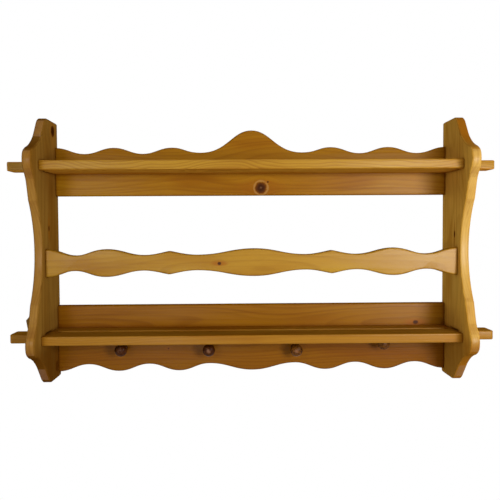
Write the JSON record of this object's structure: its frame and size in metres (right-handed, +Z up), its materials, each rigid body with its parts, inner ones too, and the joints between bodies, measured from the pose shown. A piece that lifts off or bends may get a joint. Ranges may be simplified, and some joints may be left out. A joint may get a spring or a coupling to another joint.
{
  "type": "wall plate rack",
  "caption": "Wall-hung wooden plate rack: scrolled side panels, through-tenoned shelves locked by tusk wedges, scalloped back rails, a waved plate rail and turned pegs.",
  "frame": {"origin": "on the wall plane, on the back face of the upper back rail, at the middle of its length and 43.5 mm above its lower edge", "axes": "+X to the right along the rails as seen from the room, +Y into the wall, +Z up"},
  "size_m": [0.98, 0.172, 0.543],
  "materials": {
    "pine": "honey-coloured varnish, satin to gloss",
    "wedge_pine": "honey-coloured varnish, satin",
    "peg_wood": "dark reddish-brown stain, gloss",
    "dowel_wood": "bare beech",
    "steel": "zinc-plated",
    "brass": "plain brass"
  },
  "bodies": {
    "root": {"side_panel_left": "pine", "side_panel_right": "pine", "shelf_lower": "pine", "shelf_upper": "pine", "back_rail_upper": "pine", "back_rail_lower": "pine", "plate_rail": "pine", "peg_1": "peg_wood", "peg_2": "peg_wood", "peg_3": "peg_wood", "peg_4": "peg_wood", "wedge_lower_left": "wedge_pine", "wedge_lower_right": "wedge_pine", "wedge_upper_left": "wedge_pine", "wedge_upper_right": "wedge_pine", "dowel_upper_rail_left_1": "dowel_wood", "dowel_upper_rail_right_1": "dowel_wood", "dowel_upper_rail_left_2": "dowel_wood", "dowel_upper_rail_right_2": "dowel_wood", "dowel_lower_rail_left_1": "dowel_wood", "dowel_lower_rail_right_1": "dowel_wood", "dowel_lower_rail_left_2": "dowel_wood", "dowel_lower_rail_right_2": "dowel_wood", "dowel_plate_rail_left_1": "dowel_wood", "dowel_plate_rail_right_1": "dowel_wood", "dowel_plate_rail_left_2": "dowel_wood", "dowel_plate_rail_right_2": "dowel_wood", "shelf_screw_lower_1": "steel", "shelf_screw_lower_2": "steel", "shelf_screw_lower_3": "steel", "shelf_screw_lower_4": "steel", "shelf_screw_upper_1": "steel", "shelf_screw_upper_2": "steel", "shelf_screw_upper_3": "steel", "shelf_screw_upper_4": "steel", "hanger_plate_left": "brass", "hanger_screw_left_1": "steel", "hanger_screw_left_2": "steel", "hanger_plate_right": "brass", "hanger_screw_right_1": "steel", "hanger_screw_right_2": "steel"}
  },
  "joints": []
}
